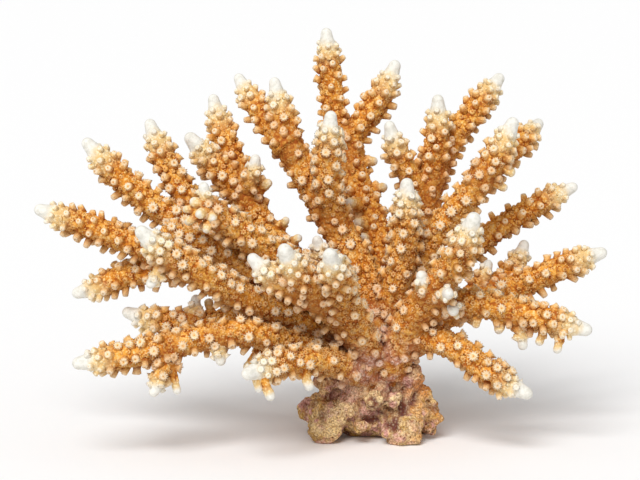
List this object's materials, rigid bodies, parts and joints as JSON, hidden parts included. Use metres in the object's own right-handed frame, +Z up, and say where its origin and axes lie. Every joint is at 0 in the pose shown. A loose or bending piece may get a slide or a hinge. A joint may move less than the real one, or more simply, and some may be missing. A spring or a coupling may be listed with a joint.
{
  "type": "branching coral colony",
  "caption": "Staghorn-type branching coral skeleton: tapered limbs with pale tips and tubular corallites spread from a short trunk on a lump of encrusted rock cut flat underneath.",
  "frame": {"origin": "middle of the flat cut underside of the rock base", "axes": "+Z up, +X to the right and -Y towards the viewer when the colony's front is seen; the longest limbs reach along -X"},
  "size_m": [0.229, 0.1288, 0.16],
  "materials": {
    "coral_limb": "matte, finely granular, orange-tan, cream and then white towards the tips",
    "coral_stem": "matte, granular, tan going to mauve-brown near the rock",
    "encrusted_rock": "matte, pitted, olive, tan, mauve and cream crusts"
  },
  "bodies": {
    "root": {"trunk": "coral_stem", "holdfast": "encrusted_rock", "centre_limb": "coral_limb", "centre_limb_left_fork": "coral_limb", "centre_limb_front_fork": "coral_limb", "tall_back_limb": "coral_limb", "tall_back_limb_top_fork": "coral_limb", "upper_left_limb": "coral_limb", "upper_left_limb_back_fork": "coral_limb", "upper_left_limb_twig": "coral_limb", "left_limb": "coral_limb", "left_limb_upper_fork": "coral_limb", "outer_left_limb": "coral_limb", "outer_left_limb_lower_fork": "coral_limb", "lower_left_limb": "coral_limb", "lower_left_limb_twig": "coral_limb", "knobbed_left_limb": "coral_limb", "knobbed_left_limb_twig": "coral_limb", "shaded_left_limb": "coral_limb", "front_left_limb": "coral_limb", "front_left_limb_twig": "coral_limb", "inner_front_limb": "coral_limb", "inner_front_limb_left_fork": "coral_limb", "front_centre_limb": "coral_limb", "front_right_limb": "coral_limb", "front_right_limb_twig": "coral_limb", "front_right_limb_upper_knob": "coral_limb", "low_front_left_limb": "coral_limb", "low_front_left_limb_outer_twig": "coral_limb", "low_front_left_limb_inner_twig": "coral_limb", "low_front_limb": "coral_limb", "small_centre_limb": "coral_limb", "centre_right_limb": "coral_limb", "right_back_limb": "coral_limb", "right_back_limb_outer_fork": "coral_limb", "right_back_limb_inner_fork": "coral_limb", "upper_right_limb": "coral_limb", "upper_right_limb_back_fork": "coral_limb", "outer_right_limb": "coral_limb", "middle_right_limb": "coral_limb", "middle_right_limb_upper_fork": "coral_limb", "middle_right_limb_twig": "coral_limb", "long_right_limb": "coral_limb", "long_right_limb_lower_twig": "coral_limb", "long_right_limb_knob": "coral_limb", "low_right_limb": "coral_limb", "back_left_limb": "coral_limb", "back_right_limb": "coral_limb", "back_low_limb": "coral_limb", "back_upper_limb": "coral_limb"}
  },
  "joints": []
}
